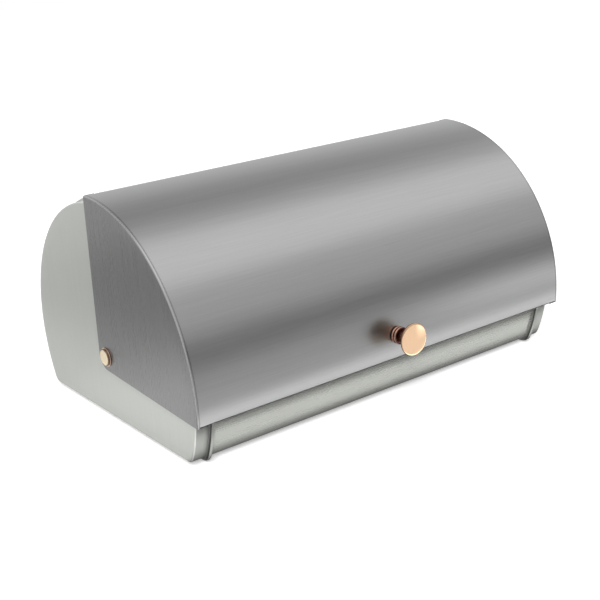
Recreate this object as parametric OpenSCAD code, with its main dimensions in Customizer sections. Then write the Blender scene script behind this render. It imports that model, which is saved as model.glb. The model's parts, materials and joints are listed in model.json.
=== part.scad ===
// Bread box of sheet steel: a round-backed body with two drawn end panels, and a
// curved lid that swings back over it on two pivot screws.
// X runs across the width, Y from the front to the back, Z up.

/* [Body] */
// Width over the faces of the two end panels
body_w = 378; // [300:1:460]
// Radius of the round side outline, measured from the pivot
body_r = 125.5; // [115:0.5:150]
// Height of the pivot above the lower edge of the end panels
pivot_h = 56; // [46:1:70]
// Radius of the two lower corners of the side outline
corner_r = 8; // [5:0.5:14]
// Thickness of the body's steel sheet
body_t = 0.6; // [0.4:0.1:0.8]
// Outside radius of the bend between an end panel's face and its rim
face_bend = 1.2; // [1.2:0.1:4]
// Width of the smooth rim from an end panel's face to its seam
rim_w = 12.5; // [8:0.5:20]
// Height of the seam above the body's surface
seam_h = 3; // [2.6:0.1:4]
// Outside radius of the seam's two rolled corners
seam_round = 1; // [0.85:0.05:1.2]
// Height of the front rail's upper edge above the lower edge of the end panels
rail_h = 50; // [42:1:60]
// Depth of the front rail's inward return
rail_return = 7; // [4:0.5:12]
// Height of the upturned lip that stops the lid, above the body's surface
lip_h = 2.6; // [2:0.1:3]

/* [Vents] */
// Diameter of one vent hole
vent_d = 4; // [2:0.5:6]
// Distance between neighbouring vent holes
vent_pitch = 12; // [9:0.5:20]
// Number of vent holes in each row
vent_count = 12; // [4:1:18]
// Height of the lower vent row above the pivot
vent_rise = 50; // [30:1:70]
// Distance from the lower vent row to the upper one, along the curve
vent_row_gap = 12; // [9:0.5:20]

/* [Lid] */
// Thickness of the lid's steel sheet
lid_t = 0.6; // [0.4:0.1:0.8]
// Least gap between the seam's crest and the inside of the lid
lid_gap = 1.4; // [0.8:0.1:4]
// Distance of the lid's centre of curvature behind the pivot
lid_back = 4.5; // [0:0.5:6]
// Distance of the lid's centre of curvature below the pivot
lid_drop = 6; // [0:0.5:8]
// Angle of the lid's front edge below its centre of curvature
lid_front_dip = 5.6; // [0:0.1:8]
// Angle of the lid's rear edge behind the top of its curve
lid_rear_lean = 1.2; // [0:0.1:4]
// Air between an end panel's face and the lid's cheek
cheek_gap = 3.4; // [2.4:0.1:6]
// Radius of the cheek's rounded point, about the pivot
cheek_point_r = 12; // [10.5:0.5:16]
// Outside radius of the cheek's rolled edge
cheek_bend = 1.4; // [1.2:0.1:3]
// Width of the cheek's flange under the lid's sheet
cheek_flange = 7; // [4:0.5:12]
// Visible groove between the cheek's rolled edge and the lid's sheet
shell_groove = 0.3; // [0.2:0.1:1]
// Outside radius of the bends at the lid's front and rear edges
hem_bend = 1.4; // [1:0.1:2]
// Width of the plain ends that the front and rear stop tabs leave free
tab_end = 24; // [22:1:40]

/* [Pivots] */
// Diameter of the pivot screw's cap
cap_d = 14.5; // [12:0.5:20]
// Thickness of the pivot screw's cap
cap_h = 1.5; // [1.2:0.1:4]
// Radius of the cap's rounded edge
cap_edge = 0.9; // [0.3:0.1:1]
// Diameter of the ring under the cap
ring_d = 15.8; // [13:0.2:22]
// Thickness of the ring under the cap
ring_h = 0.6; // [0.4:0.1:1.5]
// Diameter of the screw's smooth shoulder
shoulder_d = 6; // [5:0.5:7]
// Diameter of the screw's thread
thread_d = 4; // [3:0.5:4.5]
// Diameter of the bush's neck in the cheek
bush_d = 9; // [8:0.5:10]
// Diameter of the bush's spacer between cheek and panel
spacer_d = 16; // [12:0.5:18]
// Distance across the flats of the pivot nut
nut_flats = 7; // [6:0.5:9]
// Height of the pivot nut
nut_h = 3.2; // [2:0.1:5]

/* [Knob] */
// Angle of the knob above the lid's centre of curvature
knob_rise = 3.2; // [2:0.1:20]
// Diameter of the knob's head
knob_d = 27; // [22:0.5:40]
// Distance from the lid to the crown of the knob
knob_reach = 22; // [20:0.5:34]
// Thickness of the knob head's edge
knob_edge = 1.6; // [1:0.1:3]
// Height of the crown above the head's edge
knob_crown = 1; // [0.8:0.1:3]
// Diameter of the neck where it is slimmest
neck_d = 9; // [8:0.5:12]
// Diameter of the collar's two rings
collar_d = 14.6; // [14:0.2:22]
// Height of the collar
collar_h = 7; // [5:0.5:9]
// Diameter of the knob screw's thread
knob_screw_d = 4; // [3:0.5:4.5]
// Diameter of the knob screw's head
knob_screw_head = 8; // [6.5:0.5:9]

/* [Feet and buffers] */
// Height of a foot below the end panels
foot_h = 4.5; // [4.5:0.5:8]
// Diameter of a foot
foot_d = 18; // [14:0.5:26]
// Distance of a foot's centre from the end panel's face
foot_in_x = 42; // [30:1:70]
// Distance of a foot's centre from the flat bottom's front or rear end
foot_in_y = 24; // [16:1:50]
// Diameter of the neck of a foot
foot_neck_d = 6; // [4:0.5:8]
// Width of a buffer on the lip
buffer_w = 24; // [12:1:50]
// Distance of a buffer's middle from the middle of the box
buffer_x = 110; // [40:1:130]
// Thickness of a buffer's rubber
buffer_t = 0.9; // [0.6:0.1:1]

/* [Hidden] */
$fn = 96;

// Gap between two pieces that lie on each other
lay_gap = 0.04;
// Air between pieces that move past each other
play = 0.3;
// Radial clearance of a running fit, and of a screw in its hole
run_gap = 0.05;
hole_gap = 0.15;
// Number of steps in a small bend and in the cheek's rounded point
bend_steps = 5;
point_steps = 24;
// Concave radius where the seam and the lip rise from the sheet
root_r = 0.4;
// A bend that joins two stretches of sheet starts this far inside them, and is set in
// on all its faces, so that it comes out of their cut ends
join_lap = 0.2;
set_in = 0.03;
// Bevel of small turned pieces, and of larger ones
bevel = 0.3;
wide_bevel = 1;
// A hole's cutter runs this far past the faces that it cuts
cut_over = 1;

// Side outline of the body, with the pivot at its centre. The corner's place is rounded
// to a thousandth, so that the sheets beside it meet exactly.
corner_z = corner_r - pivot_h;
corner_y = round(1000 * sqrt(pow(body_r - corner_r, 2) - pow(corner_z, 2))) / 1000;
rail_a = 180 + asin((pivot_h - rail_h) / body_r);

// Seam: the panel's wall and hook hold the wrap's edge, which is folded with a narrow eye
fold_r = 1.5 * body_t;
seam_w = 2 * body_t + 2 * fold_r + 3 * lay_gap;
seam_in = rim_w + seam_w;
half_w = body_w / 2;

// Lid, with its centre of curvature given from the pivot
lid_c = [lid_back, -lid_drop];
lid_r = body_r + seam_h + lid_gap + lid_t + norm(lid_c);
lid_front_a = 180 + lid_front_dip;
lid_rear_a = 90 - lid_rear_lean;
hem_a = asin(hem_bend / lid_r);
cheek_out = half_w + cheek_gap + lid_t;
cheek_step = lid_t + lay_gap;
shell_half = cheek_out - cheek_bend - shell_groove - lid_t;
flange_half = shell_half - cheek_flange;
hem_half = flange_half - lid_t;
stop_half = shell_half - tab_end;

// The stop: the lid's rear return lies behind the lip and its buffers
rear_edge = lid_c + lid_r * [cos(lid_rear_a), sin(lid_rear_a)];
front_edge = lid_c + lid_r * [cos(lid_front_a), sin(lid_front_a)];
slot_back = lay_gap - root_r - set_in;
buffer_top = body_r + lip_h + lay_gap + buffer_t;
lip_a = acos((rear_edge[0] - lid_t - play) / norm([slot_back + buffer_t, buffer_top]))
    + atan2(slot_back + buffer_t, buffer_top);
stop_r = body_r + lip_h / 2;
clear_r = body_r + seam_h + play;

// Pivot pieces, measured outwards from the middle of the box
bush_in = half_w + play;
ring_in = cheek_out + play;
cap_in = ring_in + ring_h + lay_gap;
washer_h = 0.8;
washer_d = 10;
washer_in = half_w - body_t - lay_gap - washer_h;
nut_in = washer_in - lay_gap - nut_h;
thread_past = 1;
thread_end = nut_in - thread_past;

// Knob, with heights measured outwards from the lid's surface
crown_r = (pow(knob_d / 2, 2) + pow(knob_crown, 2)) / (2 * knob_crown);
crown_a = asin(knob_d / 2 / crown_r);
knob_rim_h = knob_reach - knob_crown;
head_underside = knob_rim_h - knob_edge;
neck_flare = 3;
bore_past = 7;
bore_h = collar_h + bore_past;
bead_gap = 0.3;
bead_r = (collar_h - 2 * bead_gap) / 4;
washer_sink = lid_t + pow(washer_d / 2, 2) / lid_r;
screw_head_h = 2.2;
screw_tip_gap = 1;
screw_tip_bevel = 0.5;

// Head of a foot, inside the floor
foot_head_over = 1;
foot_head_rim = 0.5;
foot_head_h = 2.2;

// Place of the pivot when the box stands on the origin, in the middle of its floor area
knob_front = lid_back - (lid_r + knob_reach - crown_r) * cos(knob_rise) - crown_r;
pivot_y = -(knob_front + body_r + seam_h) / 2;
pivot_z = pivot_h + foot_h;

// Direction at angle a in the side view, turning from the back over the top to the front
function ray(a) = [cos(a), sin(a)];
// Points on an arc round c, from angle a0 to a1
function arc(c, r, a0, a1, steps = bend_steps) =
    [for (i = [0:steps]) c + r * ray(a0 + (a1 - a0) * i / steps)];
function unit(v) = v / norm(v);
function left_of(v) = [-v[1], v[0]];
function backwards(list) = [for (i = [len(list) - 1:-1:0]) list[i]];
function flipped(list) = [for (p = backwards(list)) [p[0], -p[1]]];
// The line that runs at distance d to the left of a line of points
function beside(line, d) =
    let (last = len(line) - 1)
    [for (i = [0:last])
        let (a = left_of(unit(line[max(i, 1)] - line[max(i, 1) - 1])),
            b = left_of(unit(line[min(i, last - 1) + 1] - line[min(i, last - 1)])))
        line[i] + d * (a + b) / (1 + a * b)];
// The line without a length d at each end
function shorter(line, d) =
    let (last = len(line) - 1)
    [for (i = [0:last])
        i == 0 ? line[0] + d * unit(line[1] - line[0])
        : i == last ? line[last] - d * unit(line[last] - line[last - 1])
        : line[i]];
// How far a point p may go against direction v until it is at distance r from the pivot
function way_in(p, v, r) = p * v - sqrt(pow(p * v, 2) - p * p + r * r);

// Section of a sheet whose one surface follows a line. Its thickness is to the left, or
// to the right where t is below 0, and d is how far all its faces are set in.
module sheet(line, t, d = 0) {
    skin = beside(shorter(line, d), sign(t) * d);
    polygon(concat(skin, backwards(beside(skin, t - sign(t) * 2 * d))));
}

// Puts a shape drawn round the pivot in its place
module placed() {
    translate([0, pivot_y, pivot_z]) children();
}

// Makes the other one of a left and right pair
module on_side(side) {
    if (side < 0) mirror([1, 0, 0]) children();
    else children();
}

// Extrudes a side view, drawn in Y and Z, across the width from x0 to x1
module across(x0, x1) {
    translate([x0, 0, 0]) rotate([90, 0, 90]) linear_extrude(x1 - x0) children();
}

// Turns a section round an axis across the width. The section's x is the distance
// outside radius r, and its y is the place across the width.
module turned(c, r) {
    translate([0, c[0], c[1]]) rotate([90, 0, 90])
        rotate_extrude()
            intersection() {
                translate([r, 0]) children();
                translate([0, -body_w]) square([body_w, 2 * body_w]);
            }
}

// Keeps only what lies inside a side view
module kept(points) {
    intersection() {
        children();
        across(-body_w, body_w) polygon(points);
    }
}

// Carries a sheet's section round the body's side outline: over the top, along the flat
// bottom and, set in, round the two corners between them
module round_outline(line, t) {
    far = 2 * body_r;
    corner = [corner_y, corner_z];
    kept([corner, 3 * corner, [3 * corner_y, far], [-3 * corner_y, far],
        [-3 * corner_y, 3 * corner_z], [-corner_y, corner_z]])
        turned([0, 0], body_r) sheet(line, t);
    translate([0, corner_y, 0]) rotate([90, 0, 0]) linear_extrude(2 * corner_y)
        intersection() {
            translate([0, -pivot_h]) rotate(-90) sheet(line, t);
            translate([-body_w, -2 * pivot_h]) square([2 * body_w, 2 * pivot_h + corner_z]);
        }
    middle = unit(unit(corner) + [0, -1]);
    apex = corner - join_lap / sin(acos(middle * [0, -1])) * middle;
    for (front = [0, 1])
        mirror([0, front, 0])
            kept([apex, apex + far * unit(corner), apex + far * (unit(corner) + [0, -1]),
                apex + far * [0, -1]])
                turned(corner, corner_r) sheet(line, t, set_in);
}

// Side view of the turned edge of a curved sheet: at angle a its surface bends inwards,
// towards smaller angles with turn -1 and larger ones with turn 1, and goes in by depth
module turned_edge(c, r, bend, t, a, turn, depth) {
    bend_c = c + (r - bend) * ray(a);
    sheet(concat([bend_c + bend * ray(a) - join_lap * ray(a + turn * 90)],
        arc(bend_c, bend, a, a + turn * 90),
        [bend_c + bend * ray(a + turn * 90) - depth * ray(a)]),
        turn * t, set_in);
}

// Rod or disc across the width, from x0 to x1
module rod(d, x0, x1) {
    translate([x0, 0, 0]) rotate([0, 90, 0]) cylinder(d = d, h = x1 - x0);
}

// Stands a piece drawn along Z on the lid, at the knob
module at_knob() {
    placed() translate([0, lid_c[0], lid_c[1]]) rotate([90 - knob_rise, 0, 0])
        translate([0, 0, lid_r]) children();
}

// Surface line of an end panel, from the middle of its face over the rim to the seam's hook
panel_line = concat(
    [[-body_r, half_w]],
    arc([-face_bend, half_w - face_bend], face_bend, 90, 0),
    arc([root_r, half_w - rim_w + root_r], root_r, 180, 270),
    arc([seam_h - seam_round, half_w - rim_w - seam_round], seam_round, 90, 0),
    arc([seam_h - seam_round, half_w - seam_in + seam_round], seam_round, 0, -90),
    [[lay_gap, half_w - seam_in]]);

// Drawn end panel with a rolled face edge and a rim that ends in the seam
module end_panel(side) {
    color("#c6cac4")
        on_side(side) placed() difference() {
            round_outline(panel_line, -body_t);
            rod(thread_d + 2 * hole_gap, half_w - 2 * body_t, half_w + body_t);
        }
}

// Surface line of the wrap at one seam: its edge turns up and folds back down in the hook
wrap_wall = half_w - seam_in + body_t + lay_gap;
fold_c = [seam_h - body_t - lay_gap - fold_r, wrap_wall + fold_r];
wrap_line = concat(
    arc([root_r, wrap_wall - root_r], root_r, 180, 90),
    arc(fold_c, fold_r, -90, 90, 2 * bend_steps),
    [[fold_c[0] / 2, wrap_wall + 2 * fold_r]]);
wrap_flat = wrap_wall - 2 * root_r;

// Angle of a vent row that lies a given way along the curve above the lower row
function vent_a(along) = asin(vent_rise / body_r) + along / body_r * 180 / PI;

// Body sheet: front rail, floor, back and top in one piece, seamed to both end panels
module body_wrap() {
    lip_c = (body_r + root_r) * ray(lip_a);
    color("#c2c6c0")
        placed() difference() {
            union() {
                difference() {
                    round_outline(concat(flipped(wrap_line), wrap_line), body_t);
                    across(-half_w, half_w)
                        polygon(2 * body_r * [[0, 0], ray(lip_a), [0, 1.5], [-1.5, 1.5], ray(rail_a)]);
                }
                across(-wrap_flat, wrap_flat)
                    turned_edge([0, 0], body_r, hem_bend, body_t, rail_a, -1,
                        rail_return - hem_bend);
                across(-stop_half, stop_half)
                    sheet(concat([lip_c - root_r * ray(lip_a) - join_lap * ray(lip_a + 90)],
                        arc(lip_c, root_r, lip_a + 180, lip_a + 90),
                        [lip_c + root_r * ray(lip_a + 90) + (lip_h - root_r) * ray(lip_a)]),
                        body_t, set_in);
            }
            for (row = [0, 1], i = [0:vent_count - 1])
                rotate([vent_a(row * vent_row_gap), 0, 0])
                    translate([(i - (vent_count - 1) / 2) * vent_pitch, body_r - 2 * body_t, 0])
                        rotate([-90, 0, 0]) cylinder(d = vent_d, h = 4 * body_t);
            for (x = [-1, 1], y = [-1, 1])
                translate([x * (half_w - foot_in_x), y * (corner_y - foot_in_y), -pivot_h - body_t])
                    cylinder(d = foot_neck_d + 2 * hole_gap, h = 3 * body_t);
        }
}

// Push-in rubber foot: its neck goes through the floor and its head holds it inside
module foot(x, y) {
    foot_r = foot_d / 2;
    neck_r = foot_neck_d / 2;
    neck_top = body_t + 2 * lay_gap;
    low = lay_gap - foot_h;
    high = neck_top + foot_head_h;
    color("#3c3c3e")
        placed() translate([x * (half_w - foot_in_x), y * (corner_y - foot_in_y), -pivot_h - lay_gap])
            rotate_extrude() polygon([
                [0, low], [foot_r - wide_bevel, low], [foot_r, low + wide_bevel], [foot_r, -bevel],
                [foot_r - bevel, 0], [neck_r, 0], [neck_r, neck_top],
                [neck_r + foot_head_over, neck_top],
                [neck_r + foot_head_over, neck_top + foot_head_rim],
                [neck_r - foot_head_over, high], [0, high]]);
}

// Rubber clip over the lip, which takes up the lid at both ends of its travel
module lip_buffer(side) {
    slot_front = -root_r - body_t - lay_gap + set_in;
    slot_top = buffer_top - buffer_t;
    clip_foot = body_r + root_r + lay_gap;
    color("#46464a")
        placed() across(side * buffer_x - buffer_w / 2, side * buffer_x + buffer_w / 2)
            rotate(lip_a - 90) polygon([
                [slot_front - buffer_t, clip_foot], [slot_front, clip_foot],
                [slot_front, slot_top], [slot_back, slot_top],
                [slot_back, clip_foot], [slot_back + buffer_t, clip_foot],
                [slot_back + buffer_t, buffer_top - bevel],
                [slot_back + buffer_t - bevel, buffer_top],
                [slot_front - buffer_t + bevel, buffer_top],
                [slot_front - buffer_t, buffer_top - bevel]]);
}

// Pivot screw: cap outside, smooth shoulder up to the panel's face, thread through the panel
module pivot_screw(side) {
    color("#d9a084")
        on_side(side) placed() rotate([0, 90, 0]) rotate_extrude() polygon(concat(
            [[0, thread_end], [thread_d / 2 - bevel, thread_end], [thread_d / 2, thread_end + bevel],
                [thread_d / 2, half_w + lay_gap], [shoulder_d / 2, half_w + lay_gap],
                [shoulder_d / 2, cap_in], [cap_d / 2, cap_in]],
            arc([cap_d / 2 - cap_edge, cap_in + cap_h - cap_edge], cap_edge, 0, 90),
            [[0, cap_in + cap_h]]));
}

module pivot_ring(side) {
    color("#b06a4c")
        on_side(side) placed() difference() {
            rod(ring_d, ring_in, ring_in + ring_h);
            rod(shoulder_d + 2 * lay_gap, ring_in - ring_h, ring_in + 2 * ring_h);
        }
}

module pivot_washer(side) {
    color("#b9bcc0")
        on_side(side) placed() difference() {
            rod(washer_d, washer_in, washer_in + washer_h);
            rod(thread_d + 2 * hole_gap, washer_in - washer_h, washer_in + 2 * washer_h);
        }
}

module pivot_nut(side) {
    color("#b9bcc0")
        on_side(side) placed() difference() {
            translate([nut_in, 0, 0]) rotate([0, 90, 0])
                cylinder(d = nut_flats / cos(30), h = nut_h, $fn = 6);
            rod(thread_d + 2 * run_gap, nut_in - cut_over, nut_in + nut_h + cut_over);
        }
}

// Nylon bush: spacer between panel and cheek, with a neck that fills the cheek's hole
module pivot_bush(side) {
    step = cheek_out - lid_t - lay_gap;
    color("#e6e4dc")
        on_side(side) placed() difference() {
            union() {
                rod(spacer_d, bush_in, step);
                rod(bush_d, bush_in, cheek_out);
            }
            rod(shoulder_d + 2 * run_gap, bush_in - cut_over, cheek_out + cut_over);
        }
}

// Lid sheet between the cheeks: bent in at the front and rear edges, where deeper
// tabs in the middle meet the lip's buffers
module lid_shell() {
    rear_a = lid_rear_a + hem_a;
    front_a = lid_front_a - hem_a;
    rear_bend_c = lid_c + (lid_r - hem_bend) * ray(rear_a);
    front_bend_c = lid_c + (lid_r - hem_bend) * ray(front_a);
    rear_p = rear_bend_c + (hem_bend - lid_t) * ray(rear_a - 90);
    front_p = front_bend_c + (hem_bend - lid_t) * ray(front_a + 90);
    color("#6f6f70")
        placed() difference() {
            union() {
                difference() {
                    kept([lid_c, lid_c + 2 * lid_r * ray(lid_rear_a),
                        lid_c + 3 * lid_r * ray(135), lid_c + 2 * lid_r * ray(lid_front_a)])
                        turned(lid_c, lid_r)
                            translate([-lid_t, -shell_half]) square([lid_t, 2 * shell_half]);
                    across(-flange_half, flange_half)
                        polygon([lid_c, lid_c + 2 * lid_r * ray(rear_a),
                            lid_c + 2 * lid_r * ray(rear_a - 5)]);
                    across(-flange_half, flange_half)
                        polygon([lid_c, lid_c + 2 * lid_r * ray(front_a),
                            lid_c + 2 * lid_r * ray(front_a + 5)]);
                }
                across(-hem_half, hem_half) {
                    turned_edge(lid_c, lid_r, hem_bend, lid_t, rear_a, -1,
                        way_in(rear_p, ray(rear_a), clear_r));
                    turned_edge(lid_c, lid_r, hem_bend, lid_t, front_a, 1,
                        way_in(front_p, ray(front_a), clear_r));
                }
                across(-stop_half, stop_half) {
                    turned_edge(lid_c, lid_r, hem_bend, lid_t, rear_a, -1,
                        way_in(rear_p, ray(rear_a), stop_r));
                    turned_edge(lid_c, lid_r, hem_bend, lid_t, front_a, 1,
                        way_in(front_p, ray(front_a), stop_r));
                }
            }
            translate([0, lid_c[0], lid_c[1]]) rotate([90 - knob_rise, 0, 0])
                translate([0, 0, lid_r - 3 * lid_t])
                    cylinder(d = knob_screw_d + 2 * hole_gap, h = 6 * lid_t);
        }
}

// Surface line of a cheek: face, rolled edge, step, and flange under the lid's sheet
cheek_line = concat(
    [[-lid_r, cheek_out]],
    arc([-cheek_bend, cheek_out - cheek_bend], cheek_bend, 90, 0),
    [[-cheek_step, cheek_out - cheek_bend - cheek_step], [-cheek_step, flange_half]]);

// Flat cheek of the lid, which narrows down to a rounded point round the pivot
module cheek(side) {
    rear_a = atan2(rear_edge[1], rear_edge[0]) - acos(cheek_point_r / norm(rear_edge));
    front_a = atan2(front_edge[1], front_edge[0]) + acos(cheek_point_r / norm(front_edge));
    point_line = arc([0, 0], cheek_point_r, front_a < 0 ? front_a : front_a - 360, rear_a,
        point_steps);
    color("#828282")
        on_side(side) placed() difference() {
            kept(concat(point_line,
                [2 * rear_edge - point_line[point_steps],
                    lid_c + 3 * lid_r * ray(135),
                    2 * front_edge - point_line[0]]))
                turned(lid_c, lid_r) sheet(cheek_line, -lid_t);
            rod(bush_d + 2 * lay_gap, cheek_out - 2 * lid_t, cheek_out + lid_t);
        }
}

// Knob: crowned head on a waisted neck, with a blind hole for its screw
module knob() {
    neck_r = neck_d / 2;
    waist_h = head_underside - neck_flare;
    color("#e0ab8e")
        at_knob() difference() {
            rotate_extrude() polygon(concat(
                [[0, lay_gap], [neck_r, lay_gap], [neck_r, waist_h]],
                arc([neck_r + neck_flare, waist_h], neck_flare, 180, 90),
                [[knob_d / 2 - bevel, head_underside], [knob_d / 2, head_underside + bevel],
                    [knob_d / 2, knob_rim_h]],
                arc([0, knob_reach - crown_r], crown_r, 90 - crown_a, 90, 2 * bend_steps)));
            translate([0, 0, -cut_over])
                cylinder(d = knob_screw_d + 2 * run_gap, h = bore_h + cut_over);
        }
}

// Collar of two round beads between the lid and the knob's neck, hollowed to the lid's
// curve. The outer bead's arc starts a little late, so that the beads meet in a crease.
module knob_collar() {
    core_r = collar_d / 2 - bead_r;
    inner_r = neck_d / 2 + lay_gap;
    color("#9a5f48")
        difference() {
            at_knob() rotate_extrude() polygon(concat(
                [[inner_r, -cut_over], [core_r, -cut_over], [core_r, bead_gap]],
                arc([core_r, bead_gap + bead_r], bead_r, -90, 90, 2 * bend_steps),
                arc([core_r, bead_gap + 3 * bead_r], bead_r, -80, 90, 2 * bend_steps),
                [[core_r, collar_h], [inner_r, collar_h]]));
            placed() translate([0, lid_c[0], lid_c[1]]) rod(2 * (lid_r + lay_gap), -collar_d, collar_d);
        }
}

module knob_washer() {
    color("#b9bcc0")
        at_knob() translate([0, 0, -washer_sink - lay_gap - washer_h]) difference() {
            cylinder(d = washer_d, h = washer_h);
            translate([0, 0, -washer_h])
                cylinder(d = knob_screw_d + 2 * hole_gap, h = 3 * washer_h);
        }
}

// Screw of the knob, from the inside of the lid through washer and sheet
module knob_screw() {
    head_r = knob_screw_head / 2;
    thread_r = knob_screw_d / 2;
    head_top = -washer_sink - 2 * lay_gap - washer_h;
    head_low = head_top - screw_head_h;
    tip = bore_h - screw_tip_gap;
    color("#b9bcc0")
        at_knob() rotate_extrude() polygon([
            [0, head_low], [head_r - wide_bevel, head_low], [head_r, head_low + wide_bevel],
            [head_r, head_top], [thread_r, head_top], [thread_r, tip - screw_tip_bevel],
            [thread_r - screw_tip_bevel, tip], [0, tip]]);
}

end_panel(-1);  // left_end_panel
end_panel(1);  // right_end_panel
body_wrap();
foot(-1, -1);  // front_left_foot
foot(1, -1);  // front_right_foot
foot(-1, 1);  // rear_left_foot
foot(1, 1);  // rear_right_foot
lip_buffer(-1);  // left_lip_buffer
lip_buffer(1);  // right_lip_buffer
pivot_screw(-1);  // left_pivot_screw
pivot_screw(1);  // right_pivot_screw
pivot_ring(-1);  // left_pivot_ring
pivot_ring(1);  // right_pivot_ring
pivot_washer(-1);  // left_pivot_washer
pivot_washer(1);  // right_pivot_washer
pivot_nut(-1);  // left_pivot_nut
pivot_nut(1);  // right_pivot_nut
pivot_bush(-1);  // left_pivot_bush
pivot_bush(1);  // right_pivot_bush
lid_shell();
cheek(-1);  // left_cheek
cheek(1);  // right_cheek
knob();
knob_collar();
knob_washer();
knob_screw();
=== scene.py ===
# %% [markdown]
# # A sheet-steel bread box
# The real box is a round-backed body of satin steel with two drawn end panels, and a
# curved lid of darker brushed steel that swings back on two polished pivot screws.
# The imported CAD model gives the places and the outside. This script gives each sheet a
# smooth skin, its brushed or polished finish, and a studio to stand in.

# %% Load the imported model
import json
from math import radians, degrees

import bmesh
import bpy
import numpy as np
from mathutils import Matrix, Vector


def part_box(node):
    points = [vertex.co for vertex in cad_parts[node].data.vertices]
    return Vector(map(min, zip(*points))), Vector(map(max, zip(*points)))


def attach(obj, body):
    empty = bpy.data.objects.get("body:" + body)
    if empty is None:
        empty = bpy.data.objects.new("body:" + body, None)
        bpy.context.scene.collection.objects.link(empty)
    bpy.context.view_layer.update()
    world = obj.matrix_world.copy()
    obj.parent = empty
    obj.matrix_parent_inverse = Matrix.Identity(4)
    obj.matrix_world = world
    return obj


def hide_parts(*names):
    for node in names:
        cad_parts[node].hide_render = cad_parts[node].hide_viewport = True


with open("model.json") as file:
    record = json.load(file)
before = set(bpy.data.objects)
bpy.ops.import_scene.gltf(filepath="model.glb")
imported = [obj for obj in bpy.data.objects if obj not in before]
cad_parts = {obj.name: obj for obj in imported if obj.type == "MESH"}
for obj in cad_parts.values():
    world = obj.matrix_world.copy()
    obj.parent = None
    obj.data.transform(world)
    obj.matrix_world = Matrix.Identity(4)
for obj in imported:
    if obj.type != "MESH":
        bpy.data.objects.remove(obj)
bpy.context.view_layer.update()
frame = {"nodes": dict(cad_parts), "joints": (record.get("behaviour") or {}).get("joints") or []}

# %% [markdown]
# ## Sizes
# The pivot is the middle of everything: the body's round outline is drawn about it, and
# the lid's curve has its centre a little behind and below it. The places come from the
# model, and the radii and sheet thicknesses repeat the part's own design values.

# %% Driving sizes, in metres
MM = 0.001
pivot = np.array(frame["joints"][0]["pos_m"][1:])
half_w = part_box("right_end_panel")[1].x
foot_h = 4.5 * MM
floor_z = foot_h

body_r = 125.5 * MM
sheet_t = 0.6 * MM
corner_r = 8 * MM
lay_gap = 0.04 * MM
seam_h = 3 * MM
rim_w = 12.5 * MM
hem_r = 1.4 * MM
root_r = 0.4 * MM

# The lid's curve runs from just behind the top to just below the level of its centre.
lid_centre = pivot + np.array([4.5, -6]) * MM
lid_r = 138 * MM
lid_rear_a = 90 - 1.2
lid_front_a = 180 + 5.6
cheek_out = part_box("right_cheek")[1].x
shell_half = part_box("lid_shell")[1].x
print("pivot at", pivot.round(5), "half width", round(half_w, 4), "lid half", round(shell_half, 4))

# %% [markdown]
# ## Two-dimensional helpers
# Nearly every piece is a bent sheet, so its shape is a line with straight stretches and
# round bends. A curve object with bevels could draw such lines too, but only one at a
# time. Lines as arrays of points can be moved, mirrored and swept all at once.

# %% Lines and arcs


def ray(angle):
    """Unit direction at an angle in degrees: cosine and sine, in the last axis."""
    a = np.radians(angle)
    return np.stack([np.cos(a), np.sin(a)], -1)


def arc(centre, radius, start, end, steps=8):
    """Points on a circle: centre plus radius times the unit direction, from start to end."""
    return np.asarray(centre) + radius * ray(np.linspace(start, end, steps + 1))


def line(*parts):
    """Joins points and runs of points to one line, without the points that repeat."""
    points = np.concatenate([np.reshape(p, (-1, 2)) for p in parts])
    moved = np.linalg.norm(np.diff(points, axis=0), axis=1) > 1e-7
    return points[np.concatenate([[True], moved])]


def beside(points, distance):
    """The line at a distance to the left: each point moves along the mean of its two
    neighbouring normals, lengthened so that straight stretches stay parallel."""
    step = np.diff(points, axis=0)
    normal = np.stack([-step[:, 1], step[:, 0]], -1)
    normal /= np.linalg.norm(normal, axis=1, keepdims=True)
    a = np.concatenate([normal[:1], normal])
    b = np.concatenate([normal, normal[-1:]])
    return points + distance * (a + b) / (1 + (a * b).sum(-1, keepdims=True))


# %% [markdown]
# ## Meshes from grids
# A surface is a rectangular array of points. Neighbouring points make a quad, a grid that
# closes on itself wraps round, and a mask leaves out the cells that the sheet hasn't got.
# A subdivided cage would round these sheets as well, but a computed grid is exact, and its
# rows follow the bends, so the light runs cleanly along them.

# %% Grid to mesh


def mesh_from_grid(name, points, wrap_rows=False, wrap_columns=False, keep=None, fold=None):
    """Quads between neighbouring points of an array (rows, columns, 3). A fold array marks
    painted highlight on outer bends, down to -1, and painted shade in folds, gaps and hollows, up to
    1."""
    rows, columns = points.shape[:2]
    index = np.arange(rows * columns).reshape(rows, columns)
    if wrap_rows:
        index = np.concatenate([index, index[:1]])
    if wrap_columns:
        index = np.concatenate([index, index[:, :1]], axis=1)
    quads = np.stack([index[:-1, :-1], index[1:, :-1], index[1:, 1:], index[:-1, 1:]], -1)
    quads = quads.reshape(-1, 4) if keep is None else quads[keep]
    used, quads = np.unique(quads, return_inverse=True)
    mesh = bpy.data.meshes.new(name)
    mesh.from_pydata(points.reshape(-1, 3)[used], [], quads.reshape(-1, 4))
    if fold is not None:
        mark = mesh.attributes.new("fold", "FLOAT", "POINT")
        mark.data.foreach_set("value", np.broadcast_to(fold, (rows, columns)).ravel()[used])
    return mesh


def piece_from_mesh(name, mesh):
    """A new object with its place in its mesh, its doubles merged and faces pointing out."""
    work = bmesh.new()
    work.from_mesh(mesh)
    bmesh.ops.remove_doubles(work, verts=work.verts, dist=1e-6)
    bmesh.ops.recalc_face_normals(work, faces=work.faces)
    work.to_mesh(mesh)
    work.free()
    piece = bpy.data.objects.new(name, mesh)
    bpy.context.scene.collection.objects.link(piece)
    return piece


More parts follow.
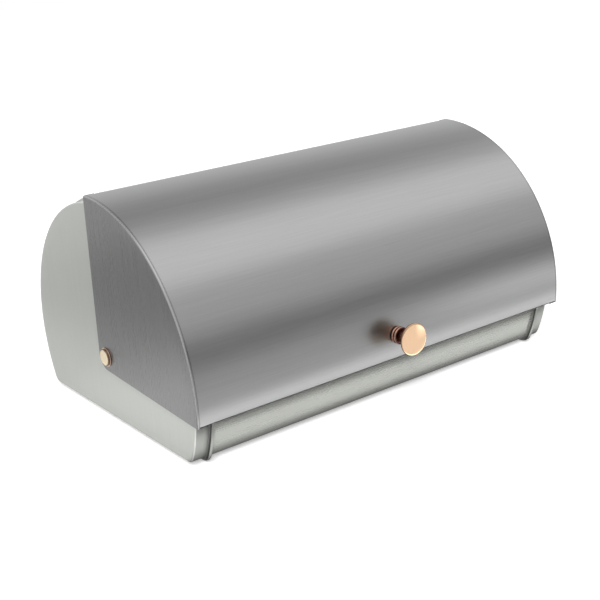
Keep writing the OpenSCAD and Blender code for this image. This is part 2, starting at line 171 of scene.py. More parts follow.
def settle(piece, sharp=32):
    """Applies the modifiers, then shades smooth across all but the sharp edges."""
    evaluated = piece.evaluated_get(bpy.context.evaluated_depsgraph_get())
    mesh = bpy.data.meshes.new_from_object(evaluated)
    mesh.name = piece.name
    piece.modifiers.clear()
    piece.data = mesh
    mesh.shade_smooth()
    mesh.set_sharp_from_angle(angle=radians(sharp))
    print(f"{piece.name}: {len(mesh.polygons)} faces")
    return piece


def thicken(piece, thickness):
    """Gives a skin its sheet thickness on the side away from its normals."""
    solid = piece.modifiers.new("sheet", "SOLIDIFY")
    solid.thickness = thickness
    solid.offset = -1
    solid.use_even_offset = True
    return settle(piece)


def finish(piece, body, material, slot, *nodes):
    """Gives a piece its material and its body, and hides the CAD nodes it stands for. The slot is not
    used.
    """
    piece.data.materials.clear()
    piece.data.materials.append(material)
    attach(piece, body)
    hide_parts(*nodes)
    return piece


# %% [markdown]
# ## Finishes
# Brushed steel gets its look from thousands of fine scratches that all run one way. Noise
# that is stretched along the brushing makes streaks, which change the roughness and the
# colour a little and tilt the surface by a hair. A photograph of brushed steel would do it
# too, but noise has no seams and no end. Polished plating is nearly a mirror.

# %% Shader maths as Python expressions


class Value:
    """A socket in a node tree. Where it carries a number, its sums, differences and
    products add Math nodes, also where a plain number comes first."""

    def __init__(self, tree, socket):
        self.tree, self.socket = tree, socket

    def __add__(self, other):
        return self.tree.maths("ADD", self, other)

    def __radd__(self, other):
        return self.tree.maths("ADD", other, self)

    def __sub__(self, other):
        return self.tree.maths("SUBTRACT", self, other)

    def __rsub__(self, other):
        return self.tree.maths("SUBTRACT", other, self)

    def __mul__(self, other):
        return self.tree.maths("MULTIPLY", self, other)

    def __rmul__(self, other):
        return self.tree.maths("MULTIPLY", other, self)


# %% A node tree


class Tree:
    """The nodes and links of a material or a world, and one method that adds any node."""

    def __init__(self, node_tree):
        self.nodes, self.links = node_tree.nodes, node_tree.links

    def put(self, socket, value):
        """Feeds a socket of a node with a number, a colour or another socket."""
        if isinstance(value, Value):
            self.links.new(value.socket, socket)
        else:
            socket.default_value = value

    def node(self, kind, settings, inputs, output=0):
        """Adds a node: its settings first, then the values or links of its sockets."""
        made = self.nodes.new(kind)
        for name, value in settings.items():
            setattr(made, name, value)
        for name, value in inputs.items():
            self.put(made.inputs[name], value)
        return Value(self, made.outputs[output])

    def maths(self, operation, first, second):
        """A Math node: one operation on two numbers or sockets."""
        return self.node("ShaderNodeMath", {"operation": operation}, {0: first, 1: second})


# %% A finish


class Finish(Tree):
    """A material with a Principled BSDF, and the nodes that several finishes share."""

    def __init__(self, name, **constants):
        self.material = bpy.data.materials.new(name)
        self.material.use_nodes = True
        super().__init__(self.material.node_tree)
        self.shader = self.nodes["Principled BSDF"]
        self.feed(**constants)

    def feed(self, **sockets):
        """Feeds the Principled BSDF, with spaces in its socket names written as _."""
        for name, value in sockets.items():
            self.put(self.shader.inputs[name.replace("_", " ")], value)

    def streaks(self, stretch, detail=3.0):
        """Noise between 0 and 1, drawn out by different scales along X, Y and Z."""
        place = self.node("ShaderNodeTexCoord", {}, {}, "Object")
        drawn = self.node("ShaderNodeMapping", {}, {"Vector": place, "Scale": stretch})
        return self.node("ShaderNodeTexNoise", {}, {"Vector": drawn, "Scale": 1.0, "Detail": detail})

    def tint(self, mask, first, second):
        """Blends two colours, plain ones or sockets, by a number from 0 to 1. A Mix node
        takes its colours in sockets 6 and 7, and gives the blend from socket 2."""
        pair = [c if isinstance(c, Value) else (*c, 1) for c in (first, second)]
        return self.node("ShaderNodeMix", {"data_type": "RGBA"}, {0: mask, 6: pair[0], 7: pair[1]}, 2)

    def folds(self):
        """How far a point has painted highlight on a bend, and how far painted shade, from 0 to 1."""
        fold = self.node("ShaderNodeAttribute", {"attribute_name": "fold"}, {}, "Fac")
        return self.maths("MAXIMUM", fold * -1.0, 0.0), self.maths("MAXIMUM", fold, 0.0)

    def bump(self, height, strength, distance):
        """A normal tilted by the slope of a height, which is worth a distance in metres."""
        sockets = {"Height": height, "Strength": strength, "Distance": distance}
        return self.node("ShaderNodeBump", {}, sockets, "Normal")


# %% [markdown]
# ## Brushed steel
# One function serves the lid, its cheeks and the body. It takes the direction of the
# brushing, because the curved sheets are brushed along their length and the flat end
# pieces from top to bottom. The satin body is part metal and part plain colour, because
# its fine matt surface scatters much of the light.

# %% Brushed steel


def brushed(name, dark, light, bend_highlight, roughness, along, bump=0.25, metallic=1.0):
    """Steel with streaks along one axis (0 is X, 2 is Z): seven parts of fine hairs and
    three of broad bands. They blend two colours and move the roughness by 0.05 either way.
    Outer bends get a painted highlight, and inner folds and gaps get painted shade."""
    made = Finish(name, Metallic=metallic)
    hair_scale, band_scale = [1500.0] * 3, [160.0] * 3
    hair_scale[along], band_scale[along] = 22.0, 5.0
    hair, band = made.streaks(hair_scale), made.streaks(band_scale)
    grain = hair * 0.7 + band * 0.3
    # Painted light: outer bends take a highlight colour, and folds and gaps are darkened almost to
    # black as painted shade.
    bend, painted_shade = made.folds()
    plain = made.tint(bend, made.tint(grain, dark, light), bend_highlight)
    made.feed(
        Base_Color=made.tint(painted_shade * 0.9, plain, (0.02, 0.02, 0.02)),
        Roughness=roughness - 0.05 + 0.1 * grain,
        Normal=made.bump(hair, bump, 0.00002),
    )
    return made.material


def grey(level):
    """A neutral colour."""
    return (level, level, level)


# The colour of the painted highlight on the satin pieces' bends.
bend_highlight_colour = (0.98, 0.98, 0.96)
lid_steel = brushed(
    "brushed_dark_steel", dark=grey(0.26), light=grey(0.34), bend_highlight=grey(0.45),
    roughness=0.31, along=0,
)
# The cheeks are the lid's steel in a darker copy: painted shade.
cheek_steel = brushed(
    "brushed_dark_steel_cheek", dark=grey(0.22), light=grey(0.27), bend_highlight=grey(0.38),
    roughness=0.28, along=2,
)
body_steel = brushed(
    "satin_steel_wrap", dark=(0.62, 0.63, 0.59), light=(0.64, 0.65, 0.61),
    bend_highlight=bend_highlight_colour, roughness=0.28, along=0, bump=0.05, metallic=0.75,
)
# The end panels are the wrap's satin steel in a darker copy: painted shade.
panel_steel = brushed(
    "satin_steel_panel", dark=(0.495, 0.51, 0.475), light=(0.575, 0.59, 0.555),
    bend_highlight=bend_highlight_colour, roughness=0.34, along=2, bump=0.2, metallic=0.7,
)
print("steels:", [made.name for made in (lid_steel, cheek_steel, body_steel, panel_steel)])

# %% [markdown]
# ## Rose-gold plating, rubber, nylon and zinc
# The caps, rings, knob and collar are one polished plating in several copies: a paler one
# on the caps is painted light, a darker one on the collar is painted shade, and the rings'
# is greyer. A faint, slow change of roughness keeps them from looking like a perfect mirror.
# Rubber and nylon take an even colour and a fine moulded grain.

# %% Plating and small parts


def plated(name, colour, roughness, shade_colour=(0.10, 0.04, 0.03)):
    """Polished plating with painted shade: it goes browner where a piece marks it. Slow noise
    takes its colour down to 94 percent, and moves its roughness between 80 and 120 percent."""
    made = Finish(name, Metallic=1.0)
    wear = made.streaks((60.0, 60.0, 60.0))
    deep = tuple(0.94 * c for c in colour)
    # Painted shade: the marked hollows and edges are tinted towards the shade colour.
    painted_shade = made.folds()[1]
    made.feed(
        Base_Color=made.tint(painted_shade, made.tint(wear, deep, colour), shade_colour),
        Roughness=roughness * (0.8 + 0.4 * wear),
    )
    return made.material


def moulded(name, colour, roughness, grain, bump):
    """Rubber or nylon: an even colour with a fine moulded grain. Its specks take the colour
    down to 85 percent and the roughness up by 0.08."""
    made = Finish(name)
    speck = made.streaks((grain, grain, grain))
    deep = tuple(0.85 * c for c in colour)
    made.feed(
        Base_Color=made.tint(speck, deep, colour),
        Roughness=roughness + 0.08 * speck,
        Normal=made.bump(speck, bump, 0.00005),
    )
    return made.material


rose_gold = plated("rose_gold", (1.0, 0.68, 0.44), roughness=0.14)
# A paler copy of the plating for the caps: painted light.
rose_gold_brightened = plated("rose_gold_brightened", (1.0, 0.85, 0.61), roughness=0.25)
rose_gold_ring = plated("rose_gold_ring", (0.80, 0.61, 0.50), roughness=0.20)
# A darker copy of the plating for the collar: painted shade.
rose_gold_shaded = plated(
    "rose_gold_shaded", (0.80, 0.48, 0.35), roughness=0.10, shade_colour=(0.07, 0.03, 0.025),
)
zinc = plated("zinc_plating", (0.52, 0.53, 0.55), roughness=0.30)
foot_rubber = moulded("foot_rubber", (0.045, 0.045, 0.048), roughness=0.70, grain=900.0, bump=0.3)
buffer_rubber = moulded(
    "buffer_rubber", (0.05, 0.05, 0.053), roughness=0.65, grain=1200.0, bump=0.3,
)
nylon = moulded("bush_nylon", (0.78, 0.77, 0.71), roughness=0.45, grain=1500.0, bump=0.15)
print(len(bpy.data.materials), "materials so far")

# %% [markdown]
# ## The body's side outline
# Seen from the side, the body is a circle about the pivot with a flat bottom and two
# small corners. The path turns clockwise from the top over the back, the bottom and the
# front. Each of its points has an outward normal, so a section can be carried along it.
# A curve with a bevel object sweeps too, but it gives no say in where the points fall.

# %% Side outline of the body
corner_z = corner_r + floor_z - pivot[1]
corner_y = np.sqrt((body_r - corner_r) ** 2 - corner_z**2)
corner_a = degrees(np.arctan2(corner_z, corner_y))


def run(centre, radius, start, end, step):
    """A round stretch of the path: the centre, the radius and the normal's angle."""
    count = max(2, int(abs(end - start) / step) + 1)
    angle = np.linspace(start, end, count)
    return np.column_stack([np.tile(centre, (count, 1)), np.full(count, radius), angle])


def follow(path):
    """Points and normals of a path: the point is centre plus radius times the normal."""
    normal = ray(path[:, 3])
    return path[:, :2] + path[:, 2:3] * normal, normal


def body_path(start, end, step=1.5):
    """Over the back from start, round the corners and the bottom, up the front to end."""
    return np.concatenate([
        run((0, 0), body_r, start, corner_a, step),
        run((corner_y, corner_z), corner_r, corner_a, -90, 6)[1:],
        run((-corner_y, corner_z), corner_r, -90, -180 - corner_a, 6),
        run((0, 0), body_r, -180 - corner_a, end, step)[1:],
    ])


print("side outline:", len(body_path(90, -270)), "points, corners at", round(corner_a, 1), "degrees")

# %% Sweep


def sweep(path_points, path_normals, section):
    """Carries a section (distance outside the path, place along X) along a path:
    the point is the path's point plus the distance times its normal."""
    side = path_points[:, None] + section[None, :, :1] * path_normals[:, None]
    place = np.broadcast_to(section[None, :, 1:], side.shape[:2] + (1,))
    return np.concatenate([place, side + pivot], axis=-1)


# %% [markdown]
# ## End panels
# Each panel is drawn from flat sheet: a face with a rolled edge, a smooth rim, and a
# raised seam whose hook holds the wrap's folded edge. An extruded face with bevelled edges
# would come near, but a swept section also gives the hook. The grid runs from the screw
# hole over the face, rim and seam, and back along the inside, so it closes both ways.

# %% Section of an end panel
face_bend = 1.2 * MM
seam_round = 1 * MM
fold_r = 1.5 * sheet_t
seam_w = 2 * sheet_t + 2 * fold_r + 3 * lay_gap
seam_in = rim_w + seam_w
screw_hole_r = 2.15 * MM
face_crown = 0.35 * MM
shade_w = 5 * MM

panel_line = line(
    arc((-face_bend, half_w - face_bend), face_bend, 90, 0),
    (0, half_w - rim_w + shade_w),
    arc((root_r, half_w - rim_w + root_r), root_r, 180, 270),
    arc((seam_h - seam_round, half_w - rim_w - seam_round), seam_round, 90, 0),
    arc((seam_h - seam_round, half_w - seam_in + seam_round), seam_round, 0, -90),
    (lay_gap, half_w - seam_in),
)
print("panel section:", len(panel_line), "points, seam", round(seam_w / MM, 2), "mm wide")

# %% End panels


def panel_face(rim, level, rows=14):
    """Rows of a slightly crowned face, from its rim in to the screw hole: a straight
    blend of the two outlines, raised by the crown times one minus the share squared."""
    outward = rim / np.linalg.norm(rim, axis=1, keepdims=True)
    share = np.linspace(1, 0, rows + 1)[1:, None, None]
    side = share * rim + (1 - share) * screw_hole_r * outward
    height = level + face_crown * (1 - share**2) + 0 * side[..., :1]
    return np.concatenate([height, side + pivot], axis=-1)


# The marks of a rolled edge's nine points: a painted highlight, strongest in its middle.
bend_highlight_mark = -np.sin(np.linspace(0, np.pi, 9))


def end_panel(side):
    """One panel's closed skin: the section swept round the outline, the face within it,
    and the same two again, one sheet further in."""
    points, normals = follow(body_path(90, -270))
    points, normals = points[:-1], normals[:-1]
    outer = sweep(points, normals, panel_line).swapaxes(0, 1)
    inner = sweep(points, normals, beside(panel_line, -sheet_t)).swapaxes(0, 1)
    rim = points - face_bend * normals
    face = panel_face(rim, half_w)
    back = panel_face(rim, half_w - sheet_t)
    grid = np.concatenate([outer[::-1], face, back[::-1], inner])
    grid[..., 0] *= side
    # The seam gets painted shade from its foot up its wall, none on top. The rim's painted
    # shade starts a little way before it. All marks are full at the front, faint over the back.
    level = panel_line[:, 0] / seam_h
    mark = np.clip(0.4 + 2 * level, 0, 1) * np.clip(5 * (1 - level) - 0.3, 0, 1)
    mark[:len(bend_highlight_mark) + 1] = [*bend_highlight_mark, 0]
    fold = np.concatenate([mark[::-1], np.zeros(2 * len(face)), mark])[:, None]
    fold = fold * np.clip(0.25 - normals[:, 0], 0.1, 1)
    name = "left_end_panel_skin" if side < 0 else "right_end_panel_skin"
    mesh = mesh_from_grid(name, grid, wrap_rows=True, wrap_columns=True, fold=fold)
    return settle(piece_from_mesh(name, mesh), sharp=60)


finish(end_panel(-1), "base", panel_steel, "panel_steel", "left_end_panel")
finish(end_panel(1), "base", panel_steel, "panel_steel", "right_end_panel")

# %% [markdown]
# ## Body wrap
# One sheet makes the front rail, floor, back and top. Its rows follow the side outline,
# with the upturned lip before it and the rail's inward return after it. Its columns cross
# the width and fold up into the seams. A mask leaves the lip and the return out where the
# sheet hasn't got them, and Solidify gives the skin its thickness, which is quicker than
# a second grid for the inside.

# %% Section across the wrap
wrap_wall = half_w - seam_in + sheet_t + lay_gap
wrap_flat = wrap_wall - 2 * root_r
stop_half = shell_half - 24 * MM
vent_count = 12
vent_pitch = 12 * MM
fold_centre = seam_h - sheet_t - lay_gap - fold_r

right_fold = line(
    arc((root_r, wrap_wall - root_r), root_r, 180, 90, 4),
    arc((fold_centre, wrap_wall + fold_r), fold_r, -90, 90, 12),
    (fold_centre / 2, wrap_wall + 2 * fold_r),
)
left_fold = right_fold[::-1] * (1, -1)
between_vents = (np.arange(vent_count + 1) - vent_count / 2) * vent_pitch
flat_places = np.array([-wrap_flat, -stop_half, *between_vents, stop_half, wrap_flat])
flat_line = np.column_stack([0 * flat_places, flat_places])
wrap_section = np.concatenate([left_fold, flat_line, right_fold])
print("wrap section:", len(wrap_section), "points")

# %% Lip and rail
# The rail ends a little below the pivot's height, and the lip stands just behind the top.
rail_drop = 6 * MM
rail_a = degrees(np.arcsin(rail_drop / body_r)) - 180
rail_return = 7 * MM
lip_h = 2.6 * MM
lip_a = 90 - 2.66

lip_foot = (body_r + root_r) * ray(lip_a)
lip_path = np.array([[*(lip_foot + (lip_h - root_r) * ray(lip_a)), -root_r, lip_a - 90]])
lip_path = np.concatenate([lip_path, run(lip_foot, -root_r, lip_a - 90, lip_a, 15)[:-1]])
rail_foot = (body_r - hem_r) * ray(rail_a)
rail_path = run(rail_foot, hem_r, rail_a, rail_a - 90, 10)[1:]
rail_end = np.array([[*(rail_foot - (rail_return - hem_r) * ray(rail_a)), hem_r, rail_a - 90]])
print("lip at", lip_a, "and rail's end at", round(rail_a, 1), "degrees")

# %% Body wrap
main_path = body_path(lip_a, rail_a)
wrap_points, wrap_normals = follow(np.concatenate([lip_path, main_path, rail_path, rail_end]))
row = np.arange(len(wrap_points) - 1)
is_lip = row < len(lip_path)
is_return = row >= len(lip_path) + len(main_path) - 1
middle = (wrap_section[1:, 1] + wrap_section[:-1, 1]) / 2
flat = (wrap_section[1:, 0] + wrap_section[:-1, 0]) == 0
keep = np.ones((len(row), len(middle)), bool)
keep[is_lip] = flat & (abs(middle) < stop_half)
keep[is_return] = flat & (abs(middle) < wrap_flat)
# Painted shade on the sheet's edges where they fold up into the seams.
fold = np.clip(wrap_section[:, 0] / root_r, 0, 1)
wrap_mesh = mesh_from_grid(
    "body_wrap_skin", sweep(wrap_points, wrap_normals, wrap_section), keep=keep, fold=fold,
)
wrap = thicken(piece_from_mesh("body_wrap_skin", wrap_mesh), sheet_t)

# %% [markdown]
# ## Vent holes and foot holes
# Two rows of round vents let the bread breathe at the back, and the feet are pushed into
# four holes in the floor. The grid's cells can't follow round holes, so they are cut with
# a Boolean. One object holds all the cutters, so there is one cut.

# %% Cut the wrap's holes
vent_r = 2 * MM
vent_h = 50 * MM
vent_angles = degrees(np.arcsin(vent_h / body_r)) + np.array([0, degrees(vent_pitch / body_r)])
foot_hole_r = 3.15 * MM
cut_reach = 3 * MM
foot_boxes = {
    f"{end}_{side}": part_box(f"{end}_{side}_foot")
    for end in ("front", "rear") for side in ("left", "right")
}


def rod_between(work, start, end, radius, sides=32):
    """Adds a cylinder from one point to another to a bmesh."""
    start, end = Vector(start), Vector(end)
    turn = (end - start).to_track_quat("Z", "Y").to_matrix().to_4x4()
    place = Matrix.Translation((start + end) / 2) @ turn
    size = {"radius1": radius, "radius2": radius, "depth": (end - start).length}
    bmesh.ops.create_cone(work, cap_ends=True, segments=sides, matrix=place, **size)


work = bmesh.new()
for angle in vent_angles:
    for x in (np.arange(vent_count) - (vent_count - 1) / 2) * vent_pitch:
        inner, outer = (pivot + r * ray(angle) for r in (body_r - cut_reach, body_r + cut_reach))
        rod_between(work, (x, *inner), (x, *outer), vent_r)
for low, high in foot_boxes.values():
    x, y = (low.x + high.x) / 2, (low.y + high.y) / 2
    rod_between(work, (x, y, floor_z - cut_reach), (x, y, floor_z + cut_reach), foot_hole_r)
cutter_mesh = bpy.data.meshes.new("hole_cutters")
work.to_mesh(cutter_mesh)
work.free()
cutters = bpy.data.objects.new("hole_cutters", cutter_mesh)
bpy.context.scene.collection.objects.link(cutters)
cut = wrap.modifiers.new("holes", "BOOLEAN")
cut.operation, cut.object, cut.solver = "DIFFERENCE", cutters, "EXACT"
settle(wrap)
bpy.data.objects.remove(cutters)
finish(wrap, "base", body_steel, "body_steel", "body_wrap")

# %% [markdown]
# ## Lid shell
# The lid is one curved sheet. Its front and rear edges turn in, with deeper tabs in the
# middle that meet the rubber stops, while its two ends run on plain over the cheeks'
# flanges. Part of a cylinder with a Solidify modifier would give the curve alone, so the
# rows of this grid go from the rear return round the curve to the front return.

# %% Side path of the lid shell
hem_a = degrees(np.arcsin(hem_r / lid_r))
overhang = 7 * MM
flange_half = shell_half - overhang
hem_half = flange_half - sheet_t
seam_clear = 0.3 * MM
clear_r = body_r + seam_h + seam_clear
stop_r = body_r + lip_h / 2


def way_in(point, direction, radius):
    """How far a point may go against a direction until it is at a radius from the pivot:
    the smaller root of the circle's equation along that line."""
    along = point @ direction
    return along - np.sqrt(along**2 - point @ point + radius**2)


def turned_in(angle, turn):
    """Rows of one turned edge: the bend, the return that clears the seams, and the tab."""
    centre = lid_centre - pivot + (lid_r - hem_r) * ray(angle)
    bend = run(centre, hem_r, angle, angle + 90 * turn, 10)[1:]
    skin = centre + (hem_r - sheet_t) * ray(angle + 90 * turn)
    depths = [way_in(skin, ray(angle), radius) for radius in (clear_r, stop_r)]
    ends = [[*(centre - depth * ray(angle)), hem_r, angle + 90 * turn] for depth in depths]
    return np.concatenate([bend, ends])


rear_rows = turned_in(lid_rear_a + hem_a, -1)[::-1]
front_rows = turned_in(lid_front_a - hem_a, 1)
curve_rows = run(lid_centre - pivot, lid_r, lid_rear_a + hem_a, lid_front_a - hem_a, 1)
lid_points, lid_normals = follow(np.concatenate([rear_rows, curve_rows, front_rows]))
print("lid path:", len(lid_points), "points")

# %% Grid of the lid shell
half_places = np.array([0, stop_half, hem_half, flange_half, shell_half])
places = np.concatenate([-half_places[:0:-1], half_places])
shell_grid = sweep(lid_points, lid_normals, np.column_stack([0 * places, places]))

bend_count = len(front_rows) - 2
plain_front = arc(lid_centre, lid_r, lid_front_a - hem_a, lid_front_a, bend_count)[1:]
plain_rear = arc(lid_centre, lid_r, lid_rear_a, lid_rear_a + hem_a, bend_count)[:-1]
outside = abs(places) > flange_half - lay_gap
shell_grid[-bend_count - 2:-2, outside, 1:] = plain_front[:, None]
shell_grid[2:bend_count + 2, outside, 1:] = plain_rear[:, None]

middle = abs((places[1:] + places[:-1]) / 2)
keep = np.ones((len(lid_points) - 1, len(middle)), bool)
turned_rows = bend_count + 2
for edge in (slice(0, turned_rows), slice(len(keep) - turned_rows, None)):
    keep[edge] &= (middle < hem_half) | (middle > flange_half)
for edge in (slice(0, 2), slice(-2, None)):
    keep[edge] = middle < hem_half
for edge in (slice(0, 1), slice(-1, None)):
    keep[edge] = middle < stop_half
print("lid grid:", keep.sum(), "of", keep.size, "cells kept")

# %% Lid shell
# Each turned edge begins with a painted highlight row; its bend and inside get painted shade.
turned = np.concatenate([[-0.5, 0.7], np.ones(bend_count + 1)])
fold = np.concatenate([turned[::-1], np.zeros(len(curve_rows) - 2), turned])[:, None]
shell_mesh = mesh_from_grid("lid_shell_skin", shell_grid, keep=keep, fold=fold)
shell = thicken(piece_from_mesh("lid_shell_skin", shell_mesh), sheet_t)
finish(shell, "lid", lid_steel, "lid_steel", "lid_shell")

# %% [markdown]
# ## Cheeks
# A cheek is flat, and narrows to a rounded point about the pivot. Straight lines between
# that point's arc and the lid's curve cover it, and the grid then runs on over the rolled
# edge, steps in by one sheet, and ends as a flange under the shell. A filled outline could
# be the flat part, but its large face would shade badly beside the rolled edge.

# %% Corners of a cheek
point_r = 12 * MM
cheek_bend = 1.4 * MM
cheek_step = sheet_t + lay_gap
groove_in = 0.1 * MM
groove_top_gap, groove_foot_gap = 0.03 * MM, 0.02 * MM
rear_edge = lid_centre - pivot + lid_r * ray(lid_rear_a)
front_edge = lid_centre - pivot + lid_r * ray(lid_front_a)


def touch_angle(edge, side):
    """Angle where a line from an edge point touches the circle round the pivot: the edge
    point's own angle, plus or minus the arc cosine of the radius over the distance."""
    away = degrees(np.arccos(point_r / np.linalg.norm(edge)))
    return degrees(np.arctan2(edge[1], edge[0])) + side * away


print("cheek corners from the pivot:", rear_edge.round(4), front_edge.round(4))

# %% Cheeks


def cheek(side):
    """One cheek. A point of its flat part is a blend, by a share from 0 to 1, of a point of
    the small arc and one of the lid's curve. The rolled edge and the flange are that curve,
    moved out or in by the edge line, whose groove lies almost against the shell."""
    steps = 96
    front_touch = touch_angle(front_edge, 1)
    front_touch -= 360 * (front_touch > 0)
    inner = arc((0, 0), point_r, touch_angle(rear_edge, -1), front_touch, steps)
    around = np.linspace(lid_rear_a, lid_front_a, steps + 1)
    edge_line = line(
        arc((-cheek_bend, cheek_out - cheek_bend), cheek_bend, 90, 0),
        (-groove_in, shell_half + groove_top_gap),
        (-cheek_step, shell_half + groove_foot_gap),
        (-cheek_step, flange_half),
    )
    reach = (lid_r + edge_line[:, 0])[:, None, None]
    rolled = lid_centre - pivot + reach * ray(around)[None]
    rolled = np.concatenate([0 * rolled[..., :1] + edge_line[:, None, 1:], rolled + pivot], -1)
    share = np.linspace(0, 1, 13)[:-1, None, None]
    flat_part = (1 - share) * inner + share * (rolled[0, :, 1:] - pivot)
    flat_part = np.concatenate([0 * flat_part[..., :1] + cheek_out, flat_part + pivot], -1)
    grid = np.concatenate([flat_part, rolled])
    grid[..., 0] *= side
    name = "left_cheek_skin" if side < 0 else "right_cheek_skin"
    # A painted highlight along the rolled edge, and painted shade in the groove and on the flange.
    groove_shade_mark = np.full(len(edge_line) - len(bend_highlight_mark), 0.3)
    fold = np.concatenate([np.zeros(len(share)), bend_highlight_mark, groove_shade_mark])
    piece = piece_from_mesh(name, mesh_from_grid(name, grid, fold=fold[:, None]))
    if (piece.data.polygons[0].normal.x > 0) != (side > 0):
        piece.data.flip_normals()
    return thicken(piece, sheet_t)


finish(cheek(-1), "lid", cheek_steel, "cheek_steel", "left_cheek")
finish(cheek(1), "lid", cheek_steel, "cheek_steel", "right_cheek")

# %% [markdown]
# ## Turned pieces
# Caps, rings, bushes, feet and the knob are round, so each is a profile of radius and
# height that turns round an axis. The Screw modifier turns profiles as well, but here the
# profile's marks come along. Corners get small radii first, because a turned or plated
# edge is never sharp, and it is the edge that catches the light.

# %% Lathe


def eased(profile, radius, steps=5):
    """Rounds the inner corners of a profile: each becomes a curve whose points are the
    quadratic blend of the corner and two points on its sides, which lie a radius away but
    no further than 0.45 of the shorter side."""
    profile = np.asarray(profile, float)
    before, corner, after = profile[:-2], profile[1:-1], profile[2:]
    back, onward = before - corner, after - corner
    back_l = np.linalg.norm(back, axis=1, keepdims=True)
    onward_l = np.linalg.norm(onward, axis=1, keepdims=True)
    cut = np.minimum(radius, 0.45 * np.minimum(back_l, onward_l))
    start, end = corner + back / back_l * cut, corner + onward / onward_l * cut
    t = np.linspace(0, 1, steps + 1)[None, :, None]
    curve = (1 - t) ** 2 * start[:, None] + 2 * t * (1 - t) * corner[:, None] + t**2 * end[:, None]
    return line(profile[0], curve.reshape(-1, 2), profile[-1])


def lathe(name, profile, foot, axis, steps=96, closed=False, fold=None):
    """Turns a profile (radius, height) round an axis from a foot point: the point is the
    foot plus the height along the axis plus the radius times a direction round it. A fold
    function of radius and height marks where the piece gets painted shade."""
    axis = Vector(axis).normalized()
    across = axis.orthogonal().normalized()
    other = axis.cross(across)
    angle = np.linspace(0, 2 * np.pi, steps, endpoint=False)[None, :, None]
    around = np.cos(angle) * np.array(across) + np.sin(angle) * np.array(other)
    radius, height = profile[:, 0, None, None], profile[:, 1, None, None]
    grid = np.array(foot) + height * np.array(axis) + radius * around
    fold = None if fold is None else fold(profile[:, 0], profile[:, 1])[:, None]
    mesh = mesh_from_grid(name, grid, wrap_rows=closed, wrap_columns=True, fold=fold)
    return settle(piece_from_mesh(name, mesh), sharp=50)


# %% [markdown]
# ## Pivot pieces
# From the inside out, each pivot has a nut, a washer, the panel, a nylon bush, the cheek,
# a plated ring, and the screw's cap. The nut and washer stay as the model has them. The
# cap's flat face and its rounded edge are one profile, so the light breaks where it should.

# %% Radii of the pivot pieces
cap_r = 7.25 * MM
cap_edge = 0.9 * MM
cap_under_r = cap_r - 0.1 * MM
cap_face_r = cap_r - 1.3 * MM
ring_r = 7.9 * MM
shoulder_r = 3 * MM
thread_r = 2 * MM
ring_bore_r = shoulder_r + lay_gap
bush_bore_r = shoulder_r + 0.05 * MM
bush_neck_r = 4.5 * MM
spacer_r = 8 * MM
small_round = 0.2 * MM
print("cap", round(2 * cap_r / MM, 1), "mm and ring", round(2 * ring_r / MM, 1), "mm across")

# %% Pivot screws, rings and bushes


def ends_x(node):
    """How far from the middle a node of the model begins and ends along X."""
    return sorted(abs(corner.x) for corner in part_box(node))


def cap_edge_shade(radius, height):
    """Painted shade, brown, on the cap's rounded edge: the share rises from 0 at 1.1 mm in
    from the rim to 0.9 about half a millimetre further out."""
    return np.clip((radius - cap_r + 1.1 * MM) / (0.6 * MM), 0, 0.9)


for side, sign in (("left", -1), ("right", 1)):
    axis, foot = (sign, 0, 0), (0, *pivot)
    tip, top = ends_x(f"{side}_pivot_screw")
    ring_in, ring_out = ends_x(f"{side}_pivot_ring")
    bush_in, bush_out = ends_x(f"{side}_pivot_bush")
    step_x = cheek_out - sheet_t - lay_gap
    shank = [[0, tip], [thread_r, tip], [thread_r, half_w], [shoulder_r, half_w]]
    under = [[shoulder_r, ring_out + lay_gap], [cap_under_r, ring_out + lay_gap]]
    edge = arc((cap_r - cap_edge, top - cap_edge), cap_edge, 0, 90, 12)
    screw_profile = line(shank, under, edge, (cap_face_r, top), (0, top))
    ring_profile = [
        [ring_bore_r, ring_in], [ring_r, ring_in], [ring_r, ring_out], [ring_bore_r, ring_out],
    ]
    bush_profile = [
        [bush_bore_r, bush_in], [spacer_r, bush_in], [spacer_r, step_x],
        [bush_neck_r, step_x], [bush_neck_r, bush_out], [bush_bore_r, bush_out],
    ]
    ring_profile, bush_profile = eased(ring_profile, small_round), eased(bush_profile, small_round)
    screw = lathe(f"{side}_pivot_cap", screw_profile, foot, axis, fold=cap_edge_shade)
    ring = lathe(f"{side}_pivot_washer_ring", ring_profile, foot, axis, closed=True)
    bush = lathe(f"{side}_nylon_bush", bush_profile, foot, axis, closed=True)
    finish(screw, "base", rose_gold_brightened, "cap_copper", f"{side}_pivot_screw")
    finish(ring, "base", rose_gold_ring, "ring_copper", f"{side}_pivot_ring")
    finish(bush, "lid", nylon, "bush_nylon", f"{side}_pivot_bush")

# %% [markdown]
# ## Knob
# The knob is a crowned disc on a slim neck. Below it sits a collar of two round beads,
# and a screw with a washer holds both from the inside of the lid. Arcs for the neck, the
# rim and the crown meet smoothly, so the plating shows its surroundings undistorted.

# %% Knob
knob_a = 180 - 3.2
knob_axis = np.array([0, *ray(knob_a)])
knob_foot = np.array([0, *lid_centre]) + lid_r * knob_axis
knob_r = 13.5 * MM
knob_top = 22 * MM
crown = 1 * MM
rim_top = knob_top - crown
rim_low = rim_top - 1.6 * MM
rim_r = 0.8 * MM
crown_r = (knob_r**2 + crown**2) / (2 * crown)
crown_a = degrees(np.arcsin(knob_r / crown_r))
crown_gap_a = 0.6
neck_r = 4.5 * MM
flare_r = 3 * MM
bore_r = 2.05 * MM
bore_end = 14 * MM


